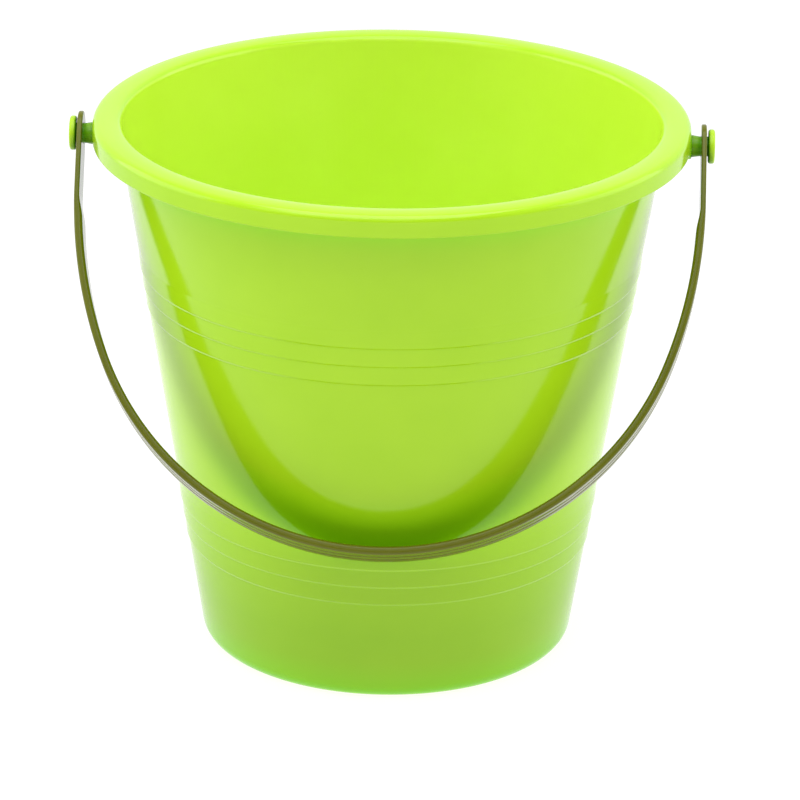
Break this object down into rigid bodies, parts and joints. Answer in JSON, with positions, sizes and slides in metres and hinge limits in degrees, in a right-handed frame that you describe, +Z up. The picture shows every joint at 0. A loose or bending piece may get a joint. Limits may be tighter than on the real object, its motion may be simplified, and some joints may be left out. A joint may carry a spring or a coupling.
{
  "type": "sand bucket",
  "caption": "Tapered plastic bucket with a rolled rim, moulded rings, pivot studs at the rim and a strap handle that swings over the mouth.",
  "frame": {"origin": "centre of the base, on the ground", "axes": "+Z up; +X along the handle's pivot axis, from the left stud to the right stud; the handle hangs on the -Y side"},
  "size_m": [0.1834, 0.17, 0.1574],
  "materials": {
    "lime_plastic": "glossy moulded lime polypropylene",
    "stud_plastic": "glossy moulded lime polypropylene",
    "olive_plastic": "semi-gloss moulded olive-green polypropylene"
  },
  "bodies": {
    "bucket": {"bucket_body": "lime_plastic", "stud_right": "stud_plastic", "stud_left": "stud_plastic"},
    "bail": {"handle": "olive_plastic"}
  },
  "joints": [
    {"name": "handle_swing", "type": "hinge", "parent": "bucket", "child": "bail", "pos_m": [0, 0, 0.1504], "axis": [-1, 0, 0], "range_deg": [0, 292]}
  ]
}
